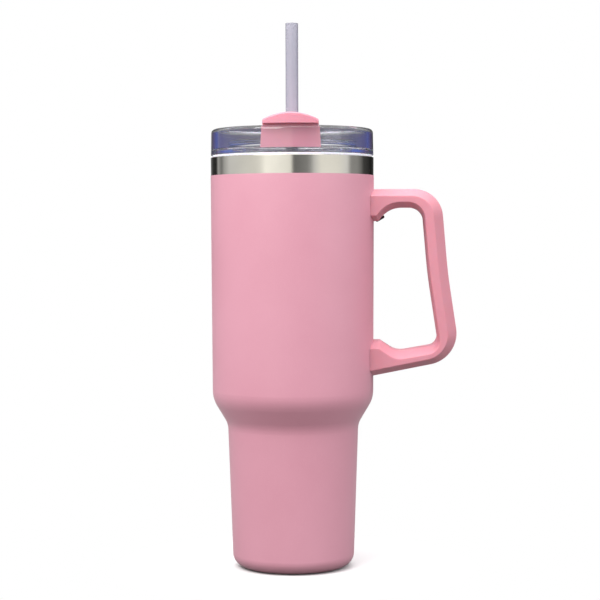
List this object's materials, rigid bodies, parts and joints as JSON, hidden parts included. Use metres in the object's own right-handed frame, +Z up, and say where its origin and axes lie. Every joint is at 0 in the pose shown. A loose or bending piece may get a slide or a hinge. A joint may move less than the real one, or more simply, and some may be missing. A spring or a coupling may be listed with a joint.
{
  "type": "insulated tumbler",
  "caption": "Double-wall vacuum tumbler with a side handle, a clear push-in lid, a swivelling cover and a straw.",
  "frame": {"origin": "middle of the underside, on the cup's axis", "axes": "+Z up along the cup's axis, +X towards the handle, the lid's thumb tab towards -Y"},
  "size_m": [0.1476, 0.0984, 0.3277],
  "materials": {
    "steel": "brushed stainless steel",
    "coat": "fine matte powder coat",
    "copper": "satin copper foil",
    "getter": "sintered metal",
    "glass_bead": "fused glass",
    "handle_plastic": "matte moulded plastic",
    "cover_plastic": "satin moulded plastic",
    "clear_plastic": "clear moulded plastic",
    "screw_steel": "dark plated steel",
    "silicone": "white silicone",
    "straw_plastic": "clear extruded plastic"
  },
  "bodies": {
    "cup": {"outer_shell": "steel", "powder_coat": "coat", "inner_liner": "steel", "radiation_foil": "copper", "vacuum_base": "steel", "getter": "getter", "seal_bead": "glass_bead", "outer_base": "steel", "upper_bracket": "steel", "lower_bracket": "steel", "handle": "handle_plastic", "handle_screws": "screw_steel"},
    "lid": {"lid_body": "clear_plastic", "rim_gasket": "silicone", "plug_seal": "silicone", "hub_o_ring": "silicone", "cover_retainer": "cover_plastic", "straw_grommet": "silicone"},
    "cover": {"swivel_cover": "cover_plastic", "sip_seal": "silicone"},
    "straw": {"straw": "straw_plastic"}
  },
  "joints": [
    {"name": "lid_lift", "type": "slide", "parent": "cup", "child": "lid", "axis": [0, 0, 1], "range_m": [0, 0.24]},
    {"name": "cover_swivel", "type": "hinge", "parent": "lid", "child": "cover", "pos_m": [0, 0, 0.2582], "axis": [0, 0, 1], "range_deg": [-90, 90]},
    {"name": "straw_slide", "type": "slide", "parent": "lid", "child": "straw", "axis": [0, 0, 1], "range_m": [0, 0.25]}
  ]
}
